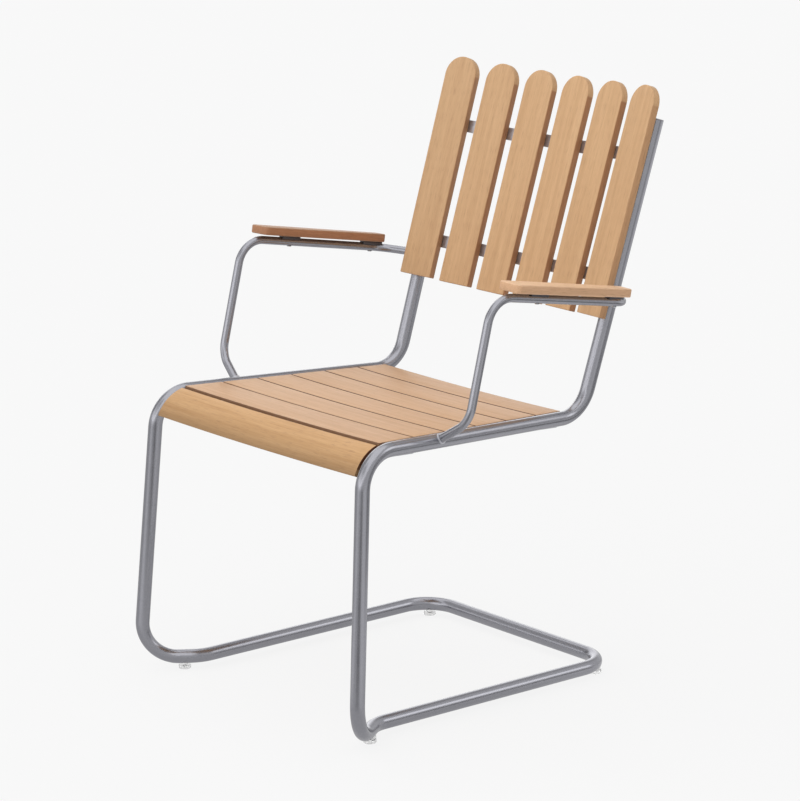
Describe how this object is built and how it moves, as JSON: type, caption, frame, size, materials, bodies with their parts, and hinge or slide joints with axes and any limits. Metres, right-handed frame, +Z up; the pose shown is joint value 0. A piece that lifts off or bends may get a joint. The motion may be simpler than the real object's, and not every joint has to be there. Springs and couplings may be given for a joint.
{
  "type": "cantilever garden armchair",
  "caption": "Springy cantilever garden armchair: one bent galvanised steel tube carries a slatted wooden seat, a fanned slatted back and tubular arms with wooden pads.",
  "frame": {"origin": "on the floor, at the middle of the chair's plan box", "axes": "+Z up; the sitter faces -Y; +X is the sitter's left"},
  "size_m": [0.6402, 0.6519, 0.9201],
  "materials": {
    "galvanised_tube": "galvanised zinc on steel, satin, faintly mottled",
    "wood": "oiled light hardwood, fine straight grain along each slat",
    "clear_plastic": "translucent moulded plastic",
    "screw_steel": "zinc plated screws",
    "grey_plastic": "moulded grey plastic"
  },
  "bodies": {
    "root": {"frame_tube": "galvanised_tube", "tube_plug_right": "grey_plastic", "tube_plug_left": "grey_plastic", "foot_front_right": "clear_plastic", "foot_rear_right": "clear_plastic", "foot_front_left": "clear_plastic", "foot_rear_left": "clear_plastic", "seat_nosing": "wood", "seat_slat_1": "wood", "seat_slat_2": "wood", "seat_slat_3": "wood", "seat_slat_4": "wood", "seat_slat_5": "wood", "seat_slat_6": "wood", "seat_support_bar_right": "galvanised_tube", "seat_support_bar_left": "galvanised_tube", "seat_cross_bar_front": "galvanised_tube", "seat_cross_bar_rear": "galvanised_tube", "back_slat_1": "wood", "back_slat_2": "wood", "back_slat_3": "wood", "back_slat_4": "wood", "back_slat_5": "wood", "back_slat_6": "wood", "back_screw_lower_1": "screw_steel", "back_screw_lower_2": "screw_steel", "back_screw_lower_3": "screw_steel", "back_screw_lower_4": "screw_steel", "back_screw_lower_5": "screw_steel", "back_screw_lower_6": "screw_steel", "back_screw_upper_1": "screw_steel", "back_screw_upper_2": "screw_steel", "back_screw_upper_3": "screw_steel", "back_screw_upper_4": "screw_steel", "back_screw_upper_5": "screw_steel", "back_screw_upper_6": "screw_steel", "back_bar_lower": "galvanised_tube", "back_bar_upper": "galvanised_tube", "pad_spacer_right_front": "galvanised_tube", "pad_spacer_right_rear": "galvanised_tube", "pad_spacer_left_front": "galvanised_tube", "pad_spacer_left_rear": "galvanised_tube", "pad_screw_right_front": "screw_steel", "pad_screw_right_rear": "screw_steel", "pad_screw_left_front": "screw_steel", "pad_screw_left_rear": "screw_steel", "arm_tube_right": "galvanised_tube", "arm_tube_left": "galvanised_tube", "arm_pad_right": "wood", "arm_pad_left": "wood"}
  },
  "joints": []
}
